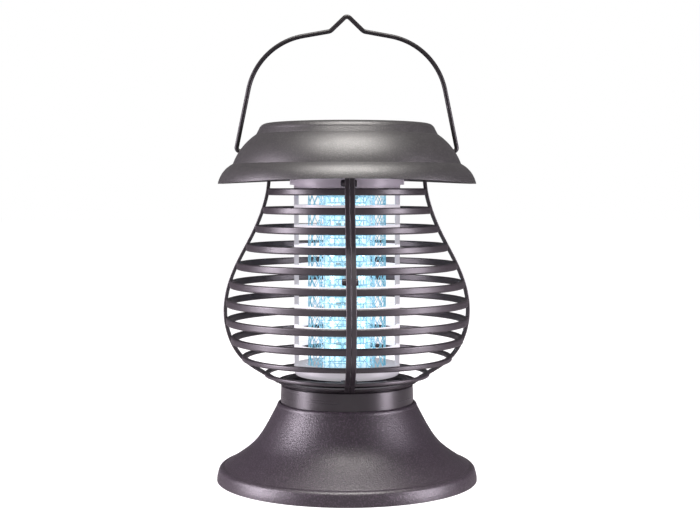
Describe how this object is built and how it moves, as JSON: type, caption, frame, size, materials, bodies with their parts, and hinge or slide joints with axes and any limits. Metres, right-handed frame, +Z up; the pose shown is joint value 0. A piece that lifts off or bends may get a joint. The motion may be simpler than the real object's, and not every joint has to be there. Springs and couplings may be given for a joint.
{
  "type": "electric bug zapper",
  "caption": "Solar insect-killer lantern: hat-shaped head, bulbous slatted cage around a lit grid unit, twist-off bell base with catch cup, and a swinging wire bail with a hook notch.",
  "frame": {"origin": "middle of the base's underside, on the surface it stands on", "axes": "+Z up through the lantern's axis, -Y to the front seam rib, +X to the viewer's right, along the bail's pivot line"},
  "size_m": [0.147, 0.147, 0.2605],
  "materials": {
    "head_plastic": "fine-grained warm dark grey moulding",
    "cage_plastic": "satin dark purple-grey moulding",
    "base_plastic": "coarse leather-grained dark purple-grey moulding",
    "cup_plastic": "smooth satin dark purple-grey moulding",
    "frame_plastic": "satin off-white moulding with a lavender cast",
    "switch_plastic": "ribbed black",
    "chip_plastic": "black moulded",
    "bail_wire": "black coated steel wire",
    "grid_metal": "bare expanded metal",
    "screw_steel": "dark zinc",
    "contact_metal": "nickel plated",
    "clear_tube": "clear tube lit from inside, pale cyan",
    "led_light": "lit white-cyan lens",
    "led_board": "white solder mask",
    "circuit_board": "green solder mask",
    "panel_backing": "laminate",
    "solar_cells": "blue-black silicon",
    "clear_cover": "clear resin",
    "ferrite": "ferrite core with wound bobbin",
    "capacitor_film": "dipped film",
    "capacitor_can": "sleeved can",
    "cell_wrap": "plain shrink sleeve"
  },
  "bodies": {
    "stand": {"base_shell": "base_plastic", "catch_cup": "cup_plastic", "stand_screws": "screw_steel"},
    "lantern": {"head_shell": "head_plastic", "head_underplate": "head_plastic", "head_screws": "screw_steel", "solar_backing": "panel_backing", "solar_cells": "solar_cells", "solar_cover": "clear_cover", "main_circuit_board": "circuit_board", "board_posts": "frame_plastic", "hv_transformer": "ferrite", "hv_capacitors": "capacitor_film", "storage_capacitor": "capacitor_can", "board_chips": "chip_plastic", "cell_holder": "chip_plastic", "rechargeable_cell": "cell_wrap", "cell_contacts": "contact_metal", "switch_body": "chip_plastic", "cage_right": "cage_plastic", "cage_left": "cage_plastic", "cage_seam_screws": "screw_steel", "cage_flange_screws": "screw_steel", "grid_frame": "frame_plastic", "outer_grid": "grid_metal", "inner_grid": "grid_metal", "light_tube": "clear_tube", "tube_cap": "frame_plastic", "led_board": "led_board", "leds": "led_light"},
    "bail": {"bail": "bail_wire"},
    "switch": {"switch_knob": "switch_plastic"}
  },
  "joints": [
    {"name": "stand_twist", "type": "hinge", "parent": "stand", "child": "lantern", "pos_m": [0, 0, 0.05], "axis": [0, 0, 1], "range_deg": [0, 20]},
    {"name": "bail_swing", "type": "hinge", "parent": "lantern", "child": "bail", "pos_m": [0, 0, 0.1845], "axis": [1, 0, 0], "range_deg": [-78, 78]},
    {"name": "switch_slide", "type": "slide", "parent": "lantern", "child": "switch", "axis": [1, 0, 0], "range_m": [-0.0025, 0.0025]}
  ]
}
